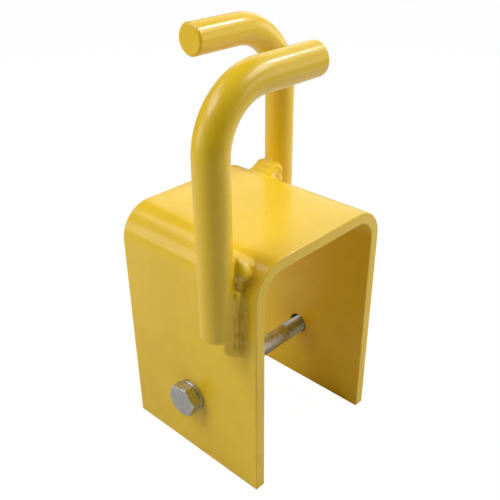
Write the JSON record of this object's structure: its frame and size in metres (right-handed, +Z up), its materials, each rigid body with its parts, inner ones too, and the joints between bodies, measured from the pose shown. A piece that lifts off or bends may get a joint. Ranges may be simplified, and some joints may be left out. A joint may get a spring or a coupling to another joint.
{
  "type": "beam clamp",
  "caption": "Inverted-U steel saddle with two opposed round-bar hooks welded to its sides for a sling, and a through bolt that closes its mouth under a beam flange.",
  "frame": {"origin": "middle of the footprint, at the height of the saddle's lower ends", "axes": "+Z up through the middle between the hooks; +X across the saddle from the bolt's head to its nut; +Y along the beam, from the front end, beside the left hook, to the back"},
  "size_m": [0.1286, 0.095, 0.2236],
  "materials": {
    "yellow_powder_coat": "glossy yellow powder coat over steel, lightly rippled",
    "zinc_plated_steel": "bright zinc plating, dull and mottled"
  },
  "bodies": {
    "frame": {"saddle": "yellow_powder_coat", "left_hook": "yellow_powder_coat", "right_hook": "yellow_powder_coat", "left_outer_weld": "yellow_powder_coat", "left_inner_weld": "yellow_powder_coat", "right_outer_weld": "yellow_powder_coat", "right_inner_weld": "yellow_powder_coat"},
    "head_washer": {"head_washer": "zinc_plated_steel"},
    "bolt": {"bolt": "zinc_plated_steel"},
    "nut_washer": {"nut_washer": "zinc_plated_steel"},
    "nut": {"nut": "zinc_plated_steel"}
  },
  "joints": [
    {"name": "bolt_withdraw", "type": "slide", "parent": "frame", "child": "head_washer", "axis": [-1, 0, 0], "range_m": [0, 0.112]},
    {"name": "bolt_turn", "type": "hinge", "parent": "head_washer", "child": "bolt", "pos_m": [-0.05, 0, 0.0392], "axis": [1, 0, 0], "continuous": true},
    {"name": "nut_travel", "type": "slide", "parent": "frame", "child": "nut_washer", "axis": [1, 0, 0], "range_m": [0, 0.01051]},
    {"name": "nut_turn", "type": "hinge", "parent": "nut_washer", "child": "nut", "pos_m": [0.05, 0, 0.0392], "axis": [1, 0, 0], "range_deg": [0, 2520]}
  ],
  "couplings": [
    {"joint": "nut_travel", "follows": "nut_turn", "m_per_rad": 0.00023873}
  ]
}
